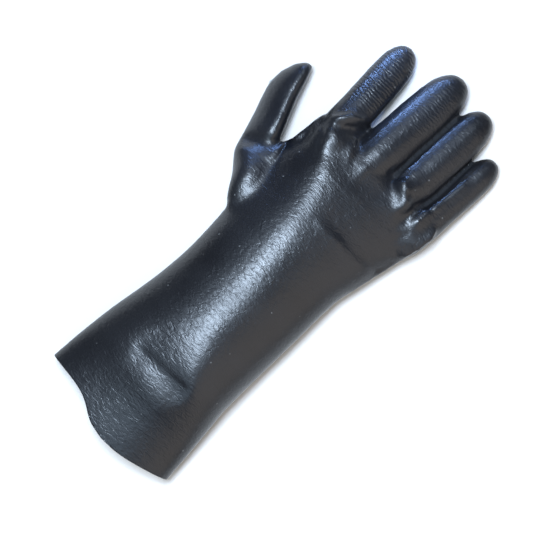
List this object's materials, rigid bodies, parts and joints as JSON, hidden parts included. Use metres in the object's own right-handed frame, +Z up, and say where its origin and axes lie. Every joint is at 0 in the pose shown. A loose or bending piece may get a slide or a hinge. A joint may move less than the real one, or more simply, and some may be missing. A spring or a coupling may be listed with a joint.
{
  "type": "pvc coated work glove",
  "caption": "Right-hand PVC coated work glove with a long gauntlet cuff, hollow to the fingertips, lying palm down",
  "frame": {"origin": "On the surface the glove lies on, under the middle of its bounding box", "axes": "+X toward the fingertips, +Y toward the thumb, +Z up out of the back of the hand"},
  "size_m": [0.3566, 0.1624, 0.0565],
  "materials": {
    "pvc_coating": "satin, finely crinkled"
  },
  "bodies": {
    "root": {"glove_shell": "pvc_coating"}
  },
  "joints": []
}
